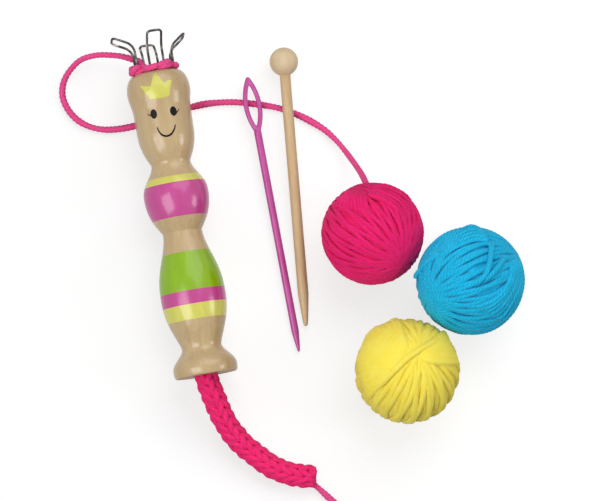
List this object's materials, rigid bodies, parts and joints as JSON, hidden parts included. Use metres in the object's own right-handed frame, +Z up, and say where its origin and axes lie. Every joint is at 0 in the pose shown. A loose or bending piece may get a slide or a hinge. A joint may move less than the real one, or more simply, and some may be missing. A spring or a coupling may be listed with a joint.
{
  "type": "knitting nancy",
  "caption": "Turned wooden knitting doll with wire loops in its head, a knitted cord through its bore, and a pick, a yarn needle and wound yarn balls lying beside it.",
  "frame": {"origin": "on the table, under the middle of the set without its cords", "axes": "+Y along the doll's axis from its foot to its head, +X to the side where the needle and pick lie, +Z up from the table, so the doll lies face up"},
  "size_m": [0.2231, 0.265, 0.0572],
  "materials": {
    "wood": "gloss varnish, painted bands",
    "pick_wood": "sanded",
    "bead_wood": "sanded",
    "wire": "bright drawn",
    "pink_yarn": "acrylic yarn",
    "blue_yarn": "acrylic yarn",
    "yellow_yarn": "acrylic yarn",
    "needle_plastic": "moulded"
  },
  "bodies": {
    "doll": {"wooden_body": "wood", "wire_loop_front": "wire", "wire_loop_right": "wire", "wire_loop_back": "wire", "wire_loop_left": "wire", "stitch_front": "pink_yarn", "stitch_right": "pink_yarn", "stitch_back": "pink_yarn", "stitch_left": "pink_yarn", "working_yarn": "pink_yarn", "pink_core": "pink_yarn", "pink_winding": "pink_yarn"},
    "cord": {"cord_in_bore": "pink_yarn", "knitted_cord": "pink_yarn", "cord_tail": "pink_yarn"},
    "needle": {"yarn_needle": "needle_plastic"},
    "pick": {"pick_shaft": "pick_wood", "pick_bead": "bead_wood"},
    "blue_ball": {"blue_core": "blue_yarn", "blue_winding": "blue_yarn"},
    "yellow_ball": {"yellow_core": "yellow_yarn", "yellow_winding": "yellow_yarn"}
  },
  "joints": [
    {"name": "cord_pull", "type": "slide", "parent": "doll", "child": "cord", "axis": [0, -1, 0], "range_m": [0, 0.006]},
    {"name": "needle_lift", "type": "slide", "parent": "doll", "child": "needle", "axis": [0, 0, 1], "range_m": [0, 0.06]},
    {"name": "pick_lift", "type": "slide", "parent": "doll", "child": "pick", "axis": [0, 0, 1], "range_m": [0, 0.06]},
    {"name": "blue_ball_lift", "type": "slide", "parent": "doll", "child": "blue_ball", "axis": [0, 0, 1], "range_m": [0, 0.06]},
    {"name": "yellow_ball_lift", "type": "slide", "parent": "doll", "child": "yellow_ball", "axis": [0, 0, 1], "range_m": [0, 0.06]}
  ]
}
